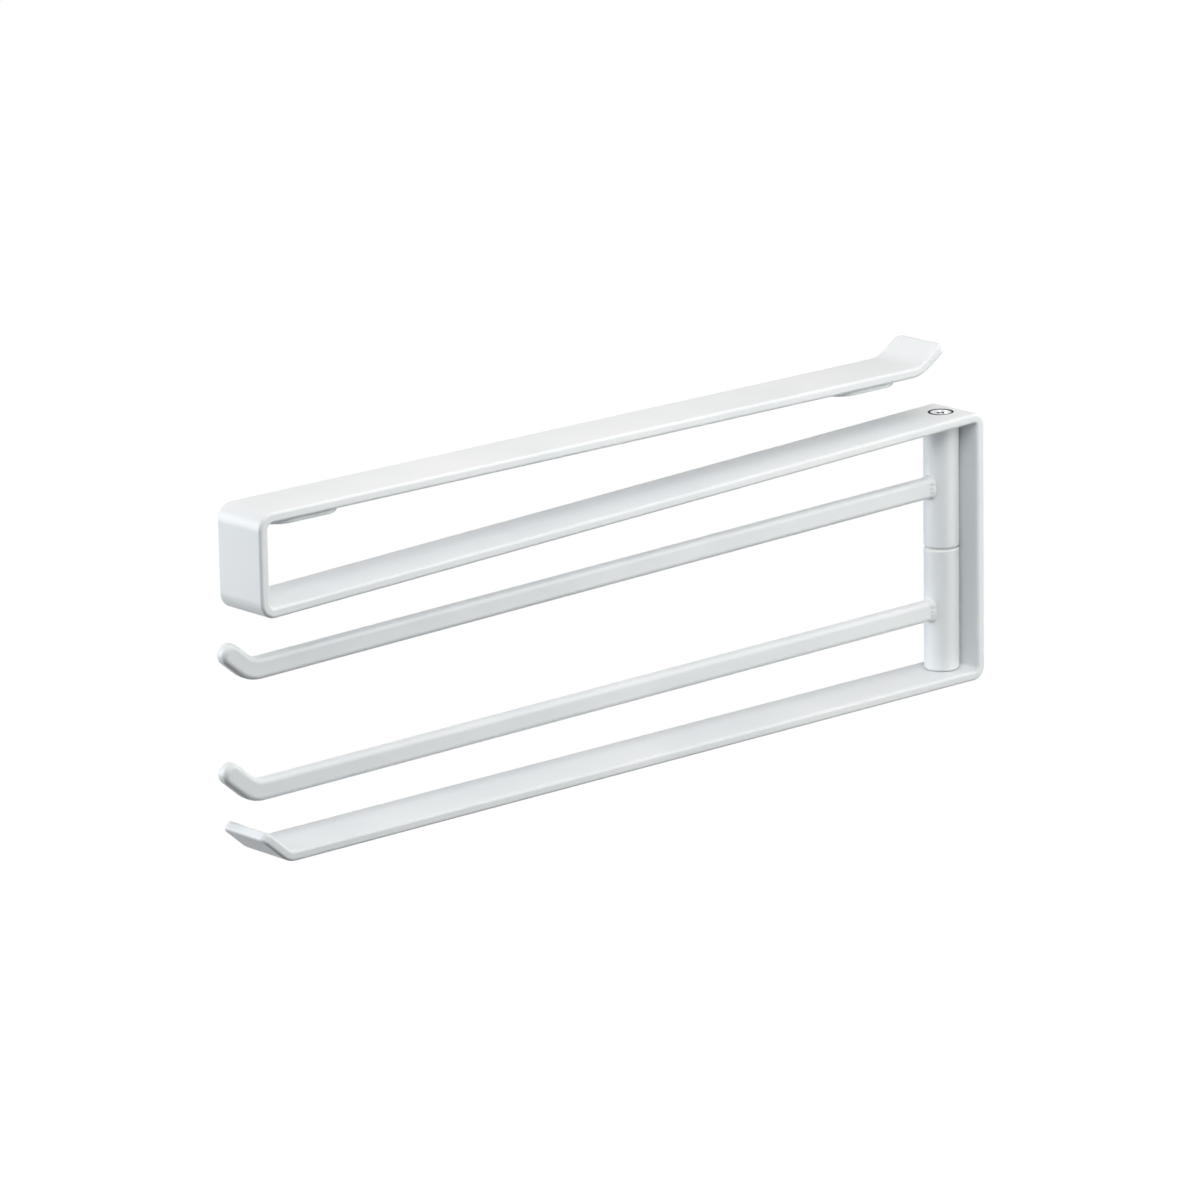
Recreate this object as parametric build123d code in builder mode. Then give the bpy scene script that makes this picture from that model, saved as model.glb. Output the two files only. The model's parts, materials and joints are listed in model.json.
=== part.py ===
"""Under-shelf dishcloth rail: a bent strip clips onto a shelf board and two arms swing below it.

Millimetres. X runs from the user towards the pivot, Y across the strip and Z up. The origin is
the middle of the front pad's underside, the face that lies on the shelf board.
"""
import os
from math import atan2, cos, degrees, radians, sin, tan

from build123d import *

os.makedirs("parts", exist_ok=True)

# Bent strip
strip_width = 25.0
strip_thickness = 4.0
strip_edge_radius = 1.2
strip_corner_radius = 3.0
front_bend_radius = 2.3
rear_bend_radius = 1.5
outer_length = 361.5
outer_height = 131.5
slot_height_front = 31.3
slot_height_rear = 19.4
top_strip_setback = 34.0
top_lip_length = 14.7
top_lip_angle = 33.0
top_lip_bend_radius = 13.0
bottom_strip_setback = 10.0
bottom_lip_length = 15.0
bottom_lip_angle = 41.0
bottom_lip_bend_radius = 5.0

# Anti-slip pads and the adhesive that holds them
pad_length = 34.5
pad_width = 22.4
pad_thickness = 1.5
pad_corner_radius = 9.0
pad_edge_radius = 0.6
pad_bend_gap = 0.4
rear_pad_lip_gap = 8.9
adhesive_thickness = 0.25
adhesive_inset = 0.1

# Arms
bar_height = 8.3
bar_thickness = 5.5
bar_edge_radius = 2.0
bar_setback = 2.7
upper_tip_length = 15.6
lower_tip_length = 17.2
tip_angle = 41.0
tip_bend_radius = 8.0
tip_corner_radius = 4.0
upper_arm_droop = 1.2
lower_arm_droop = 0.5
weld_leg = 0.9
weld_spread = 0.9
weld_edge = 0.15

# Pivot
barrel_diameter = 14.0
barrel_bore = 10.0
barrel_edge_radius = 0.8
barrel_rear_gap = 0.7
shaft_diameter = 8.0
shaft_end_chamfer = 0.4
bush_length = 10.0
bush_flange_diameter = 12.2
bush_flange_thickness = 0.3
running_clearance = 0.05
screw_diameter = 5.0
screw_length = 14.0
screw_head_diameter = 8.9
screw_head_rim = 0.5
screw_seat_gap = 0.05
screw_tip_chamfer = 0.6
screw_hole_clearance = 0.15
countersink_diameter = 10.2
recess_span = 4.8
recess_width = 1.15
recess_depth = 2.0
recess_taper = 12.0
tapped_hole_spare = 2.0

# A round edge takes at most this share of the thickness it is on
largest_edge_share = 0.45

# Heights: the pads' undersides are at zero
half_strip = strip_thickness / 2
top_underside = pad_thickness + adhesive_thickness
top_centre = top_underside + half_strip
bottom_underside = top_underside + strip_thickness - outer_height
bottom_centre = bottom_underside + half_strip
bottom_top = bottom_underside + strip_thickness

# Lengths: the front pad is centred at zero and starts just past the front bend
front_inner = -(pad_length / 2 + pad_bend_gap + front_bend_radius)
front_outer = front_inner - strip_thickness
rear_outer = front_outer + outer_length
rear_inner = rear_outer - strip_thickness
barrel_radius = barrel_diameter / 2
screw_cone_sink = (countersink_diameter - screw_head_diameter) / 2 - screw_seat_gap
screw_head_sink = screw_cone_sink - screw_head_rim
pivot_x = rear_inner - barrel_rear_gap - barrel_radius

# The middle strip rises to the rear, so that it grips the board at the slot's open end
middle_rise = (slot_height_front - slot_height_rear) / (rear_inner - front_inner)
middle_front_centre = top_underside - slot_height_front - half_strip
middle_normal_half = half_strip * (1 + middle_rise**2) ** 0.5


def middle_centre_at(x):
    """Height of the middle strip's centre line at x."""
    return middle_front_centre + middle_rise * (x - front_inner)


def middle_top_at(x):
    """Height of the middle strip's upper face at x."""
    return middle_centre_at(x) + middle_normal_half


def middle_underside_at(x):
    """Height of the middle strip's lower face at x."""
    return middle_centre_at(x) - middle_normal_half


# Stack on the pivot: flange, barrel, two flanges, barrel, flange, with a running gap at each end
flange_radius = bush_flange_diameter / 2
stack_bottom = bottom_top
stack_top = middle_underside_at(pivot_x - flange_radius)
stack_play = 4 * bush_flange_thickness + 3 * running_clearance
barrel_length = (stack_top - stack_bottom - stack_play) / 2
lower_barrel_bottom = stack_bottom + running_clearance + bush_flange_thickness
lower_barrel_top = lower_barrel_bottom + barrel_length
upper_barrel_bottom = lower_barrel_top + 2 * bush_flange_thickness + running_clearance
shaft_top = middle_underside_at(pivot_x - shaft_diameter / 2)


def finish(part, name):
    """Name a piece and write it out."""
    part.label = name
    export_step(part, f"parts/{name}.step")


# The strip, from the end of its top lip round to the end of its bottom lip. The top lip bends up
# ahead of the strip's rear face, and the bottom lip behind its front face.
top_lip_x = rear_outer - top_strip_setback
bottom_lip_x = front_outer + bottom_strip_setback
strip_centre_line = [
    (
        top_lip_x + top_lip_length * cos(radians(top_lip_angle)),
        top_centre + top_lip_length * sin(radians(top_lip_angle)),
    ),
    (top_lip_x, top_centre),
    (front_outer + half_strip, top_centre),
    (front_outer + half_strip, middle_centre_at(front_outer + half_strip)),
    (rear_inner + half_strip, middle_centre_at(rear_inner + half_strip)),
    (rear_inner + half_strip, bottom_centre),
    (bottom_lip_x, bottom_centre),
    (
        bottom_lip_x - bottom_lip_length * cos(radians(bottom_lip_angle)),
        bottom_centre + bottom_lip_length * sin(radians(bottom_lip_angle)),
    ),
]
inner_radii = [
    top_lip_bend_radius,
    front_bend_radius,
    front_bend_radius,
    rear_bend_radius,
    rear_bend_radius,
    bottom_lip_bend_radius,
]
screw_hole_radius = screw_diameter / 2 + screw_hole_clearance
mouth_lift = middle_rise * countersink_diameter / 2
hole_depth = 2 * strip_thickness
rounding = min(strip_edge_radius, largest_edge_share * strip_thickness)
length_tolerance = 0.001


def is_line_of(length):
    """A test for straight edges of one length, such as the seams beside a bend."""
    return (
        lambda edge: edge.geom_type == GeomType.LINE
        and abs(edge.length - length) < length_tolerance
    )


with BuildPart() as frame_strip:
    with BuildSketch(Plane.XZ):
        with BuildLine():
            FilletPolyline(strip_centre_line, radius=[r + half_strip for r in inner_radii])
        trace(line_width=strip_thickness)
    extrude(amount=strip_width / 2, both=True)
    fillet(frame_strip.edges().filter_by(is_line_of(strip_thickness)), strip_corner_radius)
    seams = frame_strip.edges().filter_by(is_line_of(strip_width))
    seams += frame_strip.edges().filter_by(is_line_of(strip_thickness))
    fillet([edge for edge in frame_strip.edges() if edge not in seams], rounding)
    with Locations(Plane((pivot_x, 0, middle_top_at(pivot_x) + mouth_lift))):
        CounterSinkHole(
            screw_hole_radius,
            countersink_diameter / 2 + mouth_lift,
            depth=hole_depth,
        )
    with Locations(Plane((pivot_x, 0, bottom_underside), z_dir=(0, 0, -1))):
        CounterSinkHole(screw_hole_radius, countersink_diameter / 2, depth=hole_depth)
finish(frame_strip.part, "frame_strip")


# Each pad hangs under the top strip on a thin layer of adhesive
rear_pad_x = top_lip_x - rear_pad_lip_gap - pad_length / 2
for name, pad_x in (("front_pad", 0.0), ("rear_pad", rear_pad_x)):
    with BuildPart() as pad:
        with BuildSketch(Plane((pad_x, 0, 0))):
            RectangleRounded(pad_length, pad_width, pad_corner_radius)
        extrude(amount=pad_thickness)
        pad_rounding = min(pad_edge_radius, largest_edge_share * pad_thickness)
        fillet(pad.edges().group_by(Axis.Z)[0], pad_rounding)
    finish(pad.part, name)

    with BuildPart() as adhesive:
        with BuildSketch(Plane((pad_x, 0, pad_thickness))):
            RectangleRounded(
                pad_length - 2 * adhesive_inset,
                pad_width - 2 * adhesive_inset,
                pad_corner_radius - adhesive_inset,
            )
        extrude(amount=adhesive_thickness)
    finish(adhesive.part, f"{name}_adhesive")


# The shaft stands between the middle and bottom strips, tapped at both ends
tapped_depth = screw_length - (strip_thickness - screw_head_sink) + tapped_hole_spare
with BuildPart() as pivot_shaft:
    with BuildSketch(Plane((pivot_x, 0, stack_bottom))):
        Circle(shaft_diameter / 2)
    extrude(amount=shaft_top - stack_bottom)
    chamfer(pivot_shaft.edges().filter_by(GeomType.CIRCLE), shaft_end_chamfer)
    with Locations(Plane((pivot_x, 0, shaft_top))):
        Hole(screw_diameter / 2, depth=tapped_depth)
    with Locations(Plane((pivot_x, 0, stack_bottom), z_dir=(0, 0, -1))):
        Hole(screw_diameter / 2, depth=tapped_depth)
finish(pivot_shaft.part, "pivot_shaft")


def countersunk_screw(head_face):
    """A cross-recess screw whose head lies in the given plane and whose shank points away from it.

    The head is a short straight rim over a cone.
    """
    head_radius = screw_head_diameter / 2
    shank_radius = screw_diameter / 2
    head_height = head_radius - shank_radius
    downwards = (Align.CENTER, Align.CENTER, Align.MAX)
    with BuildPart(head_face) as screw:
        Cylinder(head_radius, screw_head_rim, align=downwards)
        with Locations((0, 0, -screw_head_rim)):
            Cone(shank_radius, head_radius, head_height, align=downwards)
        Cylinder(shank_radius, screw_length, align=downwards)
        tip = screw.edges().sort_by(Axis(head_face.origin, head_face.z_dir))[0]
        chamfer(tip, screw_tip_chamfer)
        with BuildSketch(head_face.offset(-recess_depth)):
            Rectangle(recess_span, recess_width)
            Rectangle(recess_width, recess_span)
        extrude(amount=recess_depth, taper=-recess_taper, mode=Mode.SUBTRACT)
    return screw.part


upper_head = Plane((pivot_x, 0, middle_top_at(pivot_x) - screw_head_sink))
lower_head = Plane((pivot_x, 0, bottom_underside + screw_head_sink), z_dir=(0, 0, -1))
finish(countersunk_screw(upper_head), "upper_screw")
finish(countersunk_screw(lower_head), "lower_screw")


def flanged_bush(barrel_end):
    """A nylon bush pressed into a barrel, its flange on the barrel's end face."""
    with BuildPart() as bush:
        with BuildSketch(barrel_end):
            Circle(flange_radius)
        extrude(amount=bush_flange_thickness)
        with BuildSketch(barrel_end):
            Circle(barrel_bore / 2)
        extrude(amount=-bush_length)
        with Locations(barrel_end.offset(bush_flange_thickness)):
            Hole(shaft_diameter / 2 + running_clearance)
    return bush.part


def build_arm(name, barrel_bottom, droop, tip_length):
    """One swinging arm: its barrel with two bushes, its bar with the turned-up tip, and its weld."""
    barrel_top = barrel_bottom + barrel_length
    arm_height = barrel_bottom + barrel_length / 2
    bend_x = front_outer + bar_setback
    bend_height = arm_height - (pivot_x - bend_x) * tan(radians(droop))
    tip_rise = radians(tip_angle - droop)
    bar_centre_line = [
        (pivot_x, arm_height),
        (bend_x, bend_height),
        (bend_x - tip_length * cos(tip_rise), bend_height + tip_length * sin(tip_rise)),
    ]

    with BuildPart() as barrel:
        with BuildSketch(Plane((pivot_x, 0, barrel_bottom))):
            Circle(barrel_radius)
        extrude(amount=barrel_length)
        fillet(barrel.edges().filter_by(GeomType.CIRCLE), barrel_edge_radius)
        with Locations(Plane((pivot_x, 0, barrel_top))):
            Hole(barrel_bore / 2)
    finish(barrel.part, f"{name}_barrel")

    with BuildPart() as bar:
        with BuildSketch(Plane.XZ):
            with BuildLine():
                FilletPolyline(bar_centre_line, radius=tip_bend_radius + bar_height / 2)
            trace(line_width=bar_height)
        extrude(amount=bar_thickness / 2, both=True)
        fillet(bar.edges().filter_by(Axis.Y).sort_by(Axis.X)[:2], tip_corner_radius)
        all_but_barrel_end = bar.faces().filter_by(Axis.Y).edges().sort_by(Axis.X)[:-2]
        fillet(all_but_barrel_end, min(bar_edge_radius, largest_edge_share * bar_thickness))
        with BuildSketch(Plane((pivot_x, 0, barrel_bottom))):
            Circle(barrel_radius)
        extrude(amount=barrel_length, mode=Mode.SUBTRACT)
    finish(bar.part, f"{name}_bar")

    weld_root = (barrel_radius**2 - (bar_thickness / 2 + weld_spread) ** 2) ** 0.5
    weld_length = barrel_radius + weld_leg - weld_root
    root_face = Plane((pivot_x - weld_root, 0, arm_height), x_dir=(0, 1, 0), z_dir=(-1, 0, 0))
    with BuildPart() as weld:
        with BuildSketch(root_face):
            RectangleRounded(
                bar_thickness + 2 * weld_spread,
                bar_height + 2 * weld_spread,
                bar_edge_radius + weld_spread,
            )
        extrude(amount=weld_length, taper=degrees(atan2(weld_spread - weld_edge, weld_length)))
        with BuildSketch(Plane((pivot_x, 0, barrel_bottom))):
            Circle(barrel_radius)
        extrude(amount=barrel_length, mode=Mode.SUBTRACT)
        add(bar.part, mode=Mode.SUBTRACT)
    finish(weld.part, f"{name}_weld")

    top_end = Plane((pivot_x, 0, barrel_top))
    bottom_end = Plane((pivot_x, 0, barrel_bottom), z_dir=(0, 0, -1))
    finish(flanged_bush(top_end), f"{name}_top_bush")
    finish(flanged_bush(bottom_end), f"{name}_bottom_bush")


build_arm("upper_arm", upper_barrel_bottom, upper_arm_droop, upper_tip_length)
build_arm("lower_arm", lower_barrel_bottom, lower_arm_droop, lower_tip_length)
print(f"pivot x {pivot_x:.3f}, barrel length {barrel_length:.3f}, front face x {front_outer:.3f}")
print(f"barrels from {lower_barrel_bottom:.3f} and {upper_barrel_bottom:.3f}")
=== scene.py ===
# Under-shelf dishcloth rail: a bent strip that clips onto a shelf board, with two arms that swing below it
import json
import math

import bpy
import numpy as np
from mathutils import Matrix, Vector


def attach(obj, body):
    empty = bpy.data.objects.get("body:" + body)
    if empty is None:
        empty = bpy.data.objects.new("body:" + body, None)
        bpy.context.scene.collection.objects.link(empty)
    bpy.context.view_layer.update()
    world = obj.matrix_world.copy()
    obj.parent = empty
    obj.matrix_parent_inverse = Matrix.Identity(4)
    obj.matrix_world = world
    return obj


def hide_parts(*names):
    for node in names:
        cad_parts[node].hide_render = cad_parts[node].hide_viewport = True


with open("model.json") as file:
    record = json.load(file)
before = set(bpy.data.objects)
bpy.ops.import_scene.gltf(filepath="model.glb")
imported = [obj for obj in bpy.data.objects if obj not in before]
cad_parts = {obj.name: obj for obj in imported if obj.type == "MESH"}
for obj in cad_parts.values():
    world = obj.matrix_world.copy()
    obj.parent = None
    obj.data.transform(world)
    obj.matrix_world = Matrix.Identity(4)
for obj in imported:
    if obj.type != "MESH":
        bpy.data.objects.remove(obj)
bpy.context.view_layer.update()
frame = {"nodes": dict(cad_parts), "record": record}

mm = 0.001
nodes = frame["nodes"]
pivotX = frame["record"]["behaviour"]["joints"][0]["pos_m"][0]


def linearColour(hexText):
    # an sRGB hex colour as linear red, green, blue and alpha
    parts = [int(hexText[k:k + 2], 16) / 255 for k in (1, 3, 5)]
    return [p / 12.92 if p <= 0.04045 else ((p + 0.055) / 1.055) ** 2.4 for p in parts] + [1.0]


def addNode(tree, kind, sockets=None, links=None, **settings):
    # one shader node: its own settings, its fixed socket values and the wires that come into it
    node = tree.nodes.new("ShaderNode" + kind)
    for name, value in settings.items():
        setattr(node, name, value)
    for name, value in (sockets or {}).items():
        node.inputs[name].default_value = value
    for name, source in (links or {}).items():
        tree.links.new(source, node.inputs[name])
    return node


def startMaterial(name):
    # an empty material with Object coordinates at hand
    material = bpy.data.materials.new(name)
    material.use_nodes = True
    material.node_tree.nodes.clear()
    place = addNode(material.node_tree, "TexCoord").outputs["Object"]
    return material, material.node_tree, place


def endMaterial(tree, shader):
    addNode(tree, "OutputMaterial", links={"Surface": shader.outputs[0]})


def perMetre(sizeMm):
    # a noise scale whose features are this many millimetres across
    return 1 / (sizeMm * mm)


def fromPivotAxis(tree, place):
    # the distance of a point from the upright axis through the pivot
    flat = addNode(tree, "VectorMath", {1: (1, 1, 0)}, {0: place}, operation="MULTIPLY")
    return addNode(tree, "VectorMath", {1: (pivotX, 0, 0)}, {0: flat.outputs[0]},
                   operation="DISTANCE").outputs["Value"]


powderCoat = {
    "thick": "#EDEFF0",      # where the coat lies full
    "thin": "#E7EAEC",       # a shade cooler where it lies thinner
    "driftMm": 45,           # how far apart the fuller and thinner places are
    "drift": (0.35, 0.65),   # noise values at which the coat is thin and full
    "peelMm": 1.6,           # orange peel, a little coarser than the real 1 mm so that it shows
    "peelDepthMm": 0.012,
    "peelStrength": 0.5,
    "satin": (0.38, 0.46),   # roughness range
    "ior": 1.5,
}


def addPowderCoat(tree, place):
    # white polyester powder coat on steel, baked: a satin skin with a faint orange peel and soft highlights
    drift = addNode(tree, "TexNoise", {"Scale": perMetre(powderCoat["driftMm"]), "Detail": 2.0},
                    {"Vector": place})
    peel = addNode(tree, "TexNoise", {"Scale": perMetre(powderCoat["peelMm"]), "Detail": 1.0},
                   {"Vector": place})
    shade = addNode(tree, "ValToRGB", links={"Fac": drift.outputs["Fac"]})
    for stop, position, colour in zip(shade.color_ramp.elements, powderCoat["drift"], ("thin", "thick")):
        stop.position = position
        stop.color = linearColour(powderCoat[colour])
    low, high = powderCoat["satin"]
    satin = addNode(tree, "MapRange", {"To Min": low, "To Max": high}, {"Value": peel.outputs["Fac"]})
    bump = addNode(tree, "Bump", {"Strength": powderCoat["peelStrength"],
                                  "Distance": powderCoat["peelDepthMm"] * mm},
                   {"Height": peel.outputs["Fac"]})
    return addNode(tree, "BsdfPrincipled", {"IOR": powderCoat["ior"]}, {
        "Base Color": shade.outputs["Color"],
        "Roughness": satin.outputs["Result"],
        "Normal": bump.outputs["Normal"],
    })


def makePowderCoat():
    # the coat as it is on the arms
    material, tree, place = startMaterial("whitePowderCoat")
    endMaterial(tree, addPowderCoat(tree, place))
    return material


bareSeatWithPaintedShade = {
    # bare steel darkened into painted shade: the shadow in the gap round each screw head
    "colour": "#24282C",
    "radiusMm": 5.1,         # half the width of the countersink's rim
    "roughness": 0.6,
}


def makeSeatedCoat():
    # the coat on the strip, with both countersinks bare steel, cut after coating; that steel is darkened well
    # past its own grey as painted shade of the gap round each head, so they show as thin dark rings
    material, tree, place = startMaterial("whitePowderCoatWithBareSeatsAndPaintedShade")
    coat = addPowderCoat(tree, place)
    bare = addNode(tree, "BsdfPrincipled", {
        "Base Color": linearColour(bareSeatWithPaintedShade["colour"]),
        "Metallic": 1.0,
        "Roughness": bareSeatWithPaintedShade["roughness"],
    })
    inside = addNode(tree, "Math", {1: bareSeatWithPaintedShade["radiusMm"] * mm}, {0: fromPivotAxis(tree, place)},
                     operation="LESS_THAN")
    both = addNode(tree, "MixShader", links={0: inside.outputs[0], 1: coat.outputs[0], 2: bare.outputs[0]})
    endMaterial(tree, both)
    return material


softPad = {
    "colour": "#E9EEF0",
    "grainMm": 0.5,
    "grainDepthMm": 0.02,
    "grainStrength": 0.4,
    "matt": (0.5, 0.62),     # roughness range
    "ior": 1.53,
    "glow": 0.5,             # share of the light that spreads inside
    "glowMm": 1.2,           # how far it spreads
}


def makeSoftPad():
    # moulded soft PVC, milky and a little see-through: matt, with light that spreads inside it
    material, tree, place = startMaterial("milkyPvc")
    grain = addNode(tree, "TexNoise", {"Scale": perMetre(softPad["grainMm"]), "Detail": 3.0},
                    {"Vector": place})
    bump = addNode(tree, "Bump", {"Strength": softPad["grainStrength"],
                                  "Distance": softPad["grainDepthMm"] * mm},
                   {"Height": grain.outputs["Fac"]})
    low, high = softPad["matt"]
    matt = addNode(tree, "MapRange", {"To Min": low, "To Max": high}, {"Value": grain.outputs["Fac"]})
    shader = addNode(tree, "BsdfPrincipled", {
        "Base Color": linearColour(softPad["colour"]),
        "IOR": softPad["ior"],
        "Subsurface Weight": softPad["glow"],
        "Subsurface Radius": [softPad["glowMm"] * mm] * 3,
        "Subsurface Scale": 1.0,
    }, {"Roughness": matt.outputs["Result"], "Normal": bump.outputs["Normal"]})
    endMaterial(tree, shader)
    return material


tape = {
    "colour": "#D9D8D0",
    "speckMm": 0.8,
    "dull": (0.55, 0.75),    # roughness range
    "ior": 1.47,
}


def makeTape():
    # acrylic mounting adhesive seen at its edge: a dull, slightly yellow film
    material, tree, place = startMaterial("acrylicAdhesive")
    speck = addNode(tree, "TexNoise", {"Scale": perMetre(tape["speckMm"]), "Detail": 2.0},
                    {"Vector": place})
    low, high = tape["dull"]
    dull = addNode(tree, "MapRange", {"To Min": low, "To Max": high}, {"Value": speck.outputs["Fac"]})
    shader = addNode(tree, "BsdfPrincipled", {
        "Base Color": linearColour(tape["colour"]),
        "IOR": tape["ior"],
    }, {"Roughness": dull.outputs["Result"]})
    endMaterial(tree, shader)
    return material


turnedSteel = {
    "colour": "#8D9093",
    "ringMm": 1.5708,        # from one tool mark to the next, coarser than the real 0.2 mm so that they show
    "ringDepthMm": 0.01,
    "ringStrength": 0.4,
    "waver": 0.6,            # how far a mark strays from a true ring
    "roughness": 0.32,
    "radiansPerUnit": 20,    # how far Blender's wave texture turns over one unit of its coordinate
}


def makeTurnedSteel():
    # bare mild steel off the lathe: grey metal with fine rings round its axis
    material, tree, place = startMaterial("turnedSteel")
    fullTurn = 2 * math.pi / turnedSteel["radiansPerUnit"]
    rings = addNode(tree, "TexWave", {"Scale": fullTurn * perMetre(turnedSteel["ringMm"]),
                                      "Distortion": turnedSteel["waver"]},
                    {"Vector": place}, bands_direction="Z")
    bump = addNode(tree, "Bump", {"Strength": turnedSteel["ringStrength"],
                                  "Distance": turnedSteel["ringDepthMm"] * mm},
                   {"Height": rings.outputs["Fac"]})
    shader = addNode(tree, "BsdfPrincipled", {
        "Base Color": linearColour(turnedSteel["colour"]),
        "Metallic": 1.0,
        "Roughness": turnedSteel["roughness"],
    }, {"Normal": bump.outputs["Normal"]})
    endMaterial(tree, shader)
    return material


screwPlate = {
    "plate": "#D3D6DA",
    "cloudMm": 2.0,
    "gloss": (0.18, 0.32),   # roughness range of the clean plate
    "paintedShade": "#17191B",      # painted shade in the cross recess and round the head's edge, where the recess and the seat shade the head
    "recessMm": (0.2, 0.9),  # depths between which the recess turns from plate to painted shade
    "edgeMm": (3.8, 4.3),    # radii between which the head turns from plate to painted shade at its rim
    "paintedShadeRoughness": 0.6,
}


def makeScrewPlate():
    # Bright nickel plate on a cold-headed screw: smooth light metal, faintly clouded, with painted shade in
    # its recess and at its edge. Both heads lie equally far from a height midway, so the depth below either is
    # counted from there.
    material, tree, place = startMaterial("brightNickelPlate")
    cloud = addNode(tree, "TexNoise", {"Scale": perMetre(screwPlate["cloudMm"]), "Detail": 3.0},
                    {"Vector": place})
    low, high = screwPlate["gloss"]
    gloss = addNode(tree, "MapRange", {"To Min": low, "To Max": high}, {"Value": cloud.outputs["Fac"]})
    heights = [Vector(corner).z for screw in ("upper_screw", "lower_screw")
               for corner in nodes[screw].bound_box]
    midway, reach = (max(heights) + min(heights)) / 2, (max(heights) - min(heights)) / 2
    height = addNode(tree, "SeparateXYZ", links={0: place})
    fromMidway = addNode(tree, "Math", {1: midway}, {0: height.outputs["Z"]}, operation="SUBTRACT")
    off = addNode(tree, "Math", links={0: fromMidway.outputs[0]}, operation="ABSOLUTE")
    shallow, deep = (reach - depth * mm for depth in screwPlate["recessMm"])
    sunk = addNode(tree, "MapRange", {"From Min": shallow, "From Max": deep}, {"Value": off.outputs[0]})
    near, far = (radius * mm for radius in screwPlate["edgeMm"])
    edge = addNode(tree, "MapRange", {"From Min": near, "From Max": far},
                   {"Value": fromPivotAxis(tree, place)})
    # painted shade: the recess and the head's rim turn dark for the shade they lie in
    paintedShade = addNode(tree, "Math", links={0: sunk.outputs["Result"], 1: edge.outputs["Result"]},
                    operation="MAXIMUM")
    colour = addNode(tree, "Mix", {"A": linearColour(screwPlate["plate"]),
                                   "B": linearColour(screwPlate["paintedShade"])},
                     {"Factor": paintedShade.outputs[0]}, data_type="RGBA")
    rough = addNode(tree, "Mix", {"B": screwPlate["paintedShadeRoughness"]},
                    {"Factor": paintedShade.outputs[0], "A": gloss.outputs["Result"]}, data_type="FLOAT")
    shader = addNode(tree, "BsdfPrincipled", {"Metallic": 1.0},
                     {"Base Color": colour.outputs["Result"], "Roughness": rough.outputs["Result"]})
    endMaterial(tree, shader)
    return material


nylon = {
    "colour": "#E3E1D8",
    "grainMm": 0.7,
    "waxy": (0.4, 0.55),     # roughness range
    "ior": 1.53,
    "glow": 0.3,             # share of the light that spreads inside
    "glowMm": 1.0,           # how far it spreads
}


def makeNylon():
    # natural nylon bush, moulded: off-white, waxy and half matt
    material, tree, place = startMaterial("naturalNylon")
    grain = addNode(tree, "TexNoise", {"Scale": perMetre(nylon["grainMm"]), "Detail": 2.0},
                    {"Vector": place})
    low, high = nylon["waxy"]
    waxy = addNode(tree, "MapRange", {"To Min": low, "To Max": high}, {"Value": grain.outputs["Fac"]})
    shader = addNode(tree, "BsdfPrincipled", {
        "Base Color": linearColour(nylon["colour"]),
        "IOR": nylon["ior"],
        "Subsurface Weight": nylon["glow"],
        "Subsurface Radius": [nylon["glowMm"] * mm] * 3,
    }, {"Roughness": waxy.outputs["Result"]})
    endMaterial(tree, shader)
    return material


finishes = {
    "white_powder_coat": makePowderCoat(),
    "soft_pad": makeSoftPad(),
    "adhesive": makeTape(),
    "bare_steel": makeTurnedSteel(),
    "screw_steel": makeScrewPlate(),
    "nylon": makeNylon(),
}
for node in nodes.values():
    for slot in node.material_slots:
        slot.material = finishes[slot.name.split(".")[0]]
nodes["frame_strip"].material_slots[0].material = makeSeatedCoat()
print("materials on", len(nodes), "CAD nodes")


weld = {
    "beadMm": 0.9,           # radius of the bead, as wide as the solid that it stands for
    "barEdgeMm": 2.0,        # radius of the bar's long edges
    "sinkMm": 0.06,          # how deep the bead's path lies in the bar
    "ripples": (13, 7),      # two waves of heat marks round the bead
    "rippleShift": 1.0,      # radians by which the second wave leads
    "rippleDepth": 0.12,
    "lump": 0.3,             # how much the bead swells where it starts and ends, above and below the bar
    "lumpPower": 8,          # a higher one keeps the swelling shorter
    "tail": 2.6,             # how many bead radii it runs out along the bar
    "tailPower": 3,          # a higher one makes the tail thinner
    "cornerSteps": 12,       # points on each rounded corner of the bar
    "around": 208,           # points on the path round the bar
    "across": 20,            # points round the bead
}


def roundedOutline(halfWidth, halfHeight, radius):
    # Even points along a rounded rectangle and their outward directions, each as rows of y and z: four quarter
    # circles about the corners' centres, joined by straights and walked in equal steps of length.
    angles, centres = [], []
    for quarter, (side, end) in enumerate([(1, 1), (-1, 1), (-1, -1), (1, -1)]):
        angles.append(np.linspace(quarter, quarter + 1, weld["cornerSteps"]) * np.pi / 2)
        centre = (side * (halfWidth - radius), end * (halfHeight - radius))
        centres.append(np.tile(centre, (weld["cornerSteps"], 1)))
    angles = np.concatenate(angles)
    outward = np.stack([np.cos(angles), np.sin(angles)], axis=1)
    points = np.concatenate(centres) + radius * outward
    points, outward = (np.vstack([rows, rows[:1]]) for rows in (points, outward))
    length = np.concatenate([[0], np.cumsum(np.hypot(*np.diff(points, axis=0).T))])
    even = np.linspace(0, length[-1], weld["around"], endpoint=False)
    points, outward = (np.stack([np.interp(even, length, column) for column in rows.T], axis=1)
                       for rows in (points, outward))
    return points, outward / np.hypot(*outward.T)[:, None]


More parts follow.
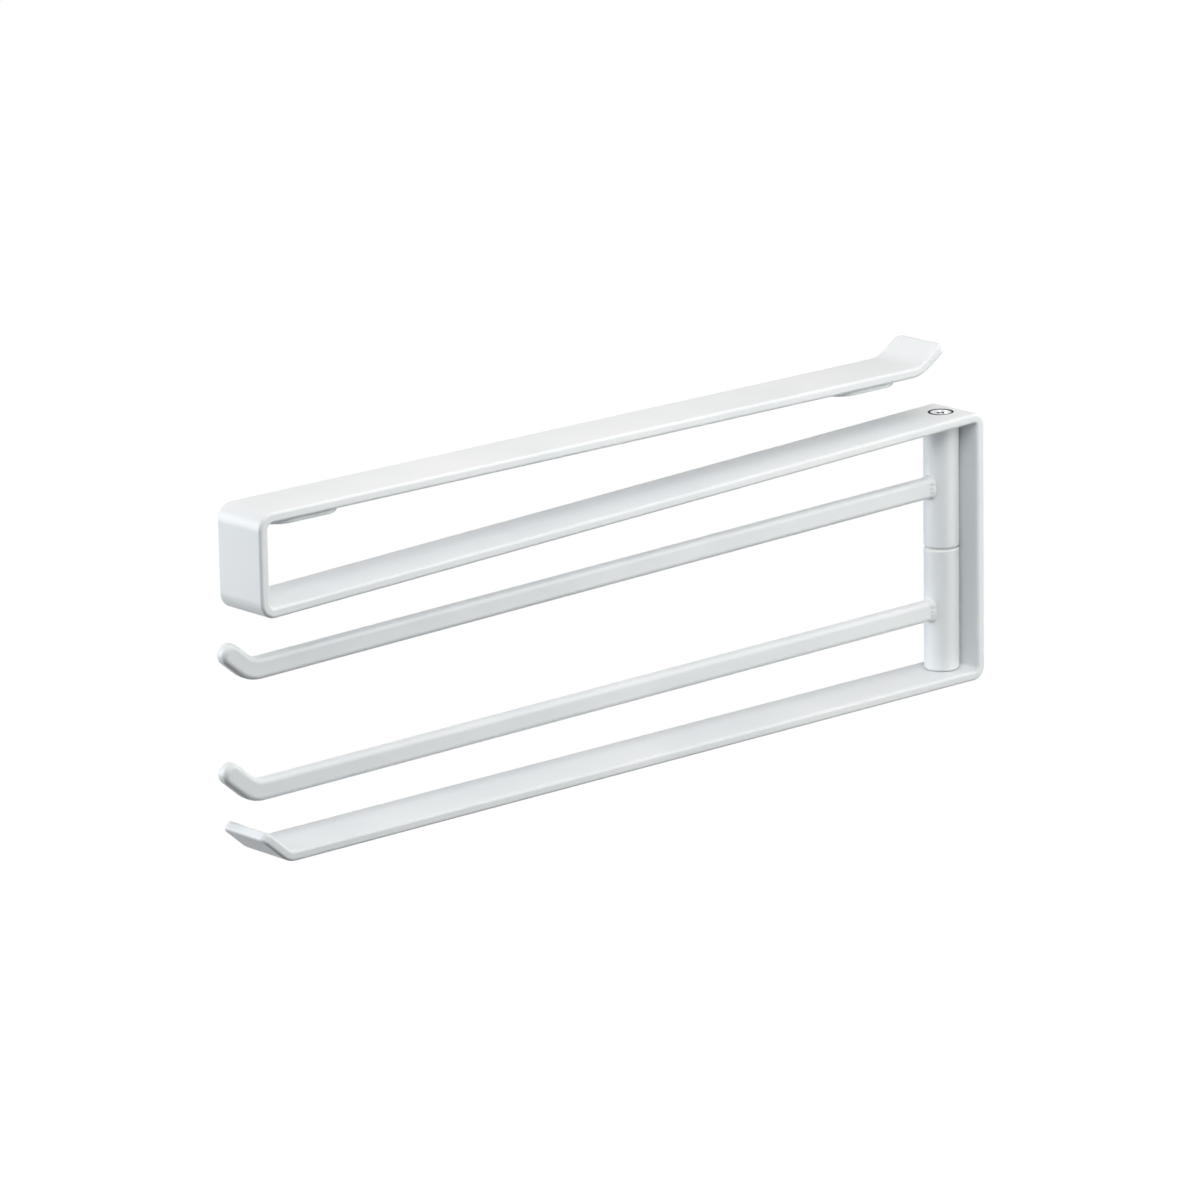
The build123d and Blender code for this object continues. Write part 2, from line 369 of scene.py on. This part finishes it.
def makeWeld(arm):
    # The bead runs round the bar where it meets the barrel. Its path is the bar's outline bent onto the
    # barrel's cylinder: x is the pivot's x less the root of radius squared less y squared. Round each point of
    # the path the cosine stands off the bar and the sine lies along it. That is a plain circle on the barrel's
    # side, and on the bar's side a tail, longer, that thins by a power of the cosine.
    solid = nodes[arm + "_weld"]
    corners = np.array([vertex.co for vertex in solid.data.vertices])
    bead = weld["beadMm"] * mm
    inset = bead + weld["sinkMm"] * mm
    halfY, halfZ = (corners[:, 1:].max(axis=0) - corners[:, 1:].min(axis=0)) / 2 - inset
    middle = (corners[:, 2].max() + corners[:, 2].min()) / 2
    barrelRadius = nodes[arm + "_barrel"].dimensions.x / 2
    outline, sideways = roundedOutline(halfY, halfZ, weld["barEdgeMm"] * mm)
    y, z = outline.T
    path = np.stack([pivotX - np.sqrt(barrelRadius ** 2 - y ** 2), y, z + middle], axis=1)
    outward = np.insert(sideways, 0, 0, axis=1)
    turn = np.linspace(0, 2 * np.pi, weld["around"], endpoint=False)
    first, second = weld["ripples"]
    wave = (np.sin(first * turn) + np.sin(second * turn + weld["rippleShift"])) / 2
    lump = sideways[:, 1] ** weld["lumpPower"]
    thick = bead * (1 + weld["rippleDepth"] * wave + weld["lump"] * lump)
    around = np.linspace(0, 2 * np.pi, weld["across"], endpoint=False)
    cosine, sine = np.cos(around), np.sin(around)
    onBar = sine > 0
    proud = np.where(onBar, np.sign(cosine) * np.abs(cosine) ** weld["tailPower"], cosine)
    along = np.where(onBar, weld["tail"], 1.0) * sine
    towardsTip = np.array([-1.0, 0, 0])
    ring = proud[None, :, None] * outward[:, None] + along[None, :, None] * towardsTip
    points = path[:, None] + thick[:, None, None] * ring
    addTorus(arm + "WeldBead", points, arm, arm + "_weld", "white_powder_coat")


def addTorus(name, points, body, replaced, slot):
    # a closed grid surface, rows by columns of points, that stands for one CAD node
    rows, columns = points.shape[:2]
    number = np.arange(rows * columns).reshape(rows, columns)
    beside, below = np.roll(number, -1, axis=1), np.roll(number, -1, axis=0)
    faces = np.stack([number, beside, np.roll(below, -1, axis=1), below], axis=-1).reshape(-1, 4)
    mesh = bpy.data.meshes.new(name)
    mesh.from_pydata(points.reshape(-1, 3).tolist(), [], faces.tolist())
    mesh.shade_smooth()
    mesh.materials.append(finishes[slot])
    piece = bpy.data.objects.new(name, mesh)
    bpy.context.scene.collection.objects.link(piece)
    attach(piece, body)
    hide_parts(replaced)


for arm in ("upper_arm", "lower_arm"):
    makeWeld(arm)
print("welds made")


# the view of the photograph, in degrees, metres and millimetres of focal length
lens = {
    "azimuth": -41.15,
    "elevation": 14.97,
    "roll": -1.0,
    "distance": 2.617,
    "target": (0.14745, 0.0, -0.06023),
    "focalMm": 208.9,
    "sensorMm": 36.0,
    "clipEnd": 50,
}


def direction(azimuth, elevation):
    # from the object towards someone who stands at that azimuth and elevation, in degrees
    a, e = math.radians(azimuth), math.radians(elevation)
    return Vector((math.sin(a) * math.cos(e), -math.cos(a) * math.cos(e), math.sin(e)))


def makeCamera():
    # looks at the target from its azimuth and elevation, then turns about its own line of sight
    back = direction(lens["azimuth"], lens["elevation"])
    right = Vector((0, 0, 1)).cross(back).normalized()
    up = back.cross(right)
    turn = math.radians(lens["roll"])
    across = right * math.cos(turn) + up * math.sin(turn)
    upward = up * math.cos(turn) - right * math.sin(turn)
    data = bpy.data.cameras.new("camera")
    data.lens, data.sensor_width = lens["focalMm"], lens["sensorMm"]
    data.clip_end = lens["clipEnd"]
    camera = bpy.data.objects.new("camera", data)
    bpy.context.scene.collection.objects.link(camera)
    place = Matrix.Translation(Vector(lens["target"]) + back * lens["distance"])
    camera.matrix_world = place @ Matrix((across, upward, back)).transposed().to_4x4()
    bpy.context.scene.camera = camera


makeCamera()
print("camera placed")


studio = {
    "floorHeight": -0.65,
    "floorSize": 40.0,
    "floorColour": "#3F4144",
    "floorGlow": 1.0,
    "skyColour": "#E8F0F8",
    "skyStrength": 0.02,
    "aims": {
        "middle": lens["target"],
        "top": (0.15, 0.0, 0.0),
        "front": (-0.02, 0.0, 0.0),
        "rear": (0.33, 0.0, -0.09),
    },
    "lamps": [
        # name, aim, azimuth, elevation, distance, width, height, watts, colour
        ("leftSoftbox", "middle", -135, 8, 1.3, 0.5, 0.8, 10.2, "#FBFDFF"),
        ("lowFill", "middle", -41, -15, 1.3, 0.5, 0.8, 1.4, "#E9F7FF"),
        ("frontSoftbox", "middle", -41, 30, 1.3, 0.8, 0.8, 3.1, "#F9FDFF"),
        ("highFrontSoftbox", "middle", -41, 60, 1.3, 0.8, 0.8, 2.3, "#FFFEFD"),
        ("rightSoftbox", "middle", 49, 8, 1.3, 0.5, 0.8, 3.2, "#FFFDF6"),
        ("farRightSoftbox", "middle", 70, 8, 1.3, 0.5, 0.8, 4.3, "#F9FFFD"),
        ("backSoftbox", "middle", 95, 42, 1.3, 0.8, 0.8, 1.2, "#F3F9FF"),
        ("overhead", "middle", -20, 88, 1.3, 0.8, 0.8, 2.8, "#FFEDDD"),
        ("topPanel", "top", 0, 50, 0.5, 0.5, 0.3, 1.53, "#FFFFFF"),
        ("frontPanel", "front", -100, 35, 0.5, 0.3, 0.3, 0.34, "#F8FBFF"),
        ("rearLeftPanel", "rear", -135, 5, 0.5, 0.3, 0.3, 0.29, "#DAF2FF"),
        ("rearRightPanel", "rear", 20, -5, 0.5, 0.3, 0.3, 0.54, "#FEFFFB"),
    ],
    "unmirrored": ("rightSoftbox", "farRightSoftbox"),  # low lamps whose glare would wash out the back view
}


def seenDirectly(tree):
    # 1 for camera, glossy and transmission rays, which see the white background, and 0 for the rest
    path = addNode(tree, "LightPath")
    firstTwo = addNode(tree, "Math", links={0: path.outputs["Is Camera Ray"],
                                            1: path.outputs["Is Glossy Ray"]}, operation="MAXIMUM")
    return addNode(tree, "Math", links={0: firstTwo.outputs[0],
                                        1: path.outputs["Is Transmission Ray"]}, operation="MAXIMUM")


def makeFloor():
    # a plain grey floor well below the rail, which hangs; its own glow takes it to white where it is seen
    half = studio["floorSize"] / 2
    height = studio["floorHeight"]
    mesh = bpy.data.meshes.new("floor")
    mesh.from_pydata([(-half, -half, height), (half, -half, height), (half, half, height),
                      (-half, half, height)], [], [(0, 1, 2, 3)])
    floor = bpy.data.objects.new("floor", mesh)
    bpy.context.scene.collection.objects.link(floor)
    material, tree, place = startMaterial("greyFloor")
    paint = addNode(tree, "BsdfDiffuse", {"Color": linearColour(studio["floorColour"])})
    glow = addNode(tree, "Emission", {"Color": (1, 1, 1, 1)})
    strength = addNode(tree, "Math", {1: studio["floorGlow"]}, {0: seenDirectly(tree).outputs[0]},
                       operation="MULTIPLY")
    tree.links.new(strength.outputs[0], glow.inputs["Strength"])
    both = addNode(tree, "AddShader", links={0: paint.outputs[0], 1: glow.outputs[0]})
    endMaterial(tree, both)
    mesh.materials.append(material)


def makeSky():
    # dim cool light from all round, and plain white to whoever looks at it
    world = bpy.data.worlds.new("studioAir")
    bpy.context.scene.world = world
    world.use_nodes = True
    tree = world.node_tree
    tree.nodes.clear()
    air = addNode(tree, "Background", {"Color": linearColour(studio["skyColour"]),
                                       "Strength": studio["skyStrength"]})
    white = addNode(tree, "Background", {"Color": (1, 1, 1, 1), "Strength": 1.0})
    choice = addNode(tree, "MixShader", links={0: seenDirectly(tree).outputs[0], 1: air.outputs[0],
                                               2: white.outputs[0]})
    addNode(tree, "OutputWorld", links={"Surface": choice.outputs[0]})


def makeLamp(name, aim, azimuth, elevation, distance, width, height, watts, colour):
    # a rectangular softbox that faces its aim
    data = bpy.data.lights.new(name, "AREA")
    data.shape = "RECTANGLE"
    data.size, data.size_y = width, height
    data.energy = watts
    data.color = linearColour(colour)[:3]
    lamp = bpy.data.objects.new(name, data)
    bpy.context.scene.collection.objects.link(lamp)
    back = direction(azimuth, elevation)
    lamp.location = Vector(studio["aims"][aim]) + back * distance
    lamp.rotation_euler = back.to_track_quat("Z", "Y").to_euler()
    lamp.visible_glossy = name not in studio["unmirrored"]


makeFloor()
makeSky()
for lamp in studio["lamps"]:
    makeLamp(*lamp)
bpy.context.scene.view_settings.view_transform = "Standard"
print("studio lit")
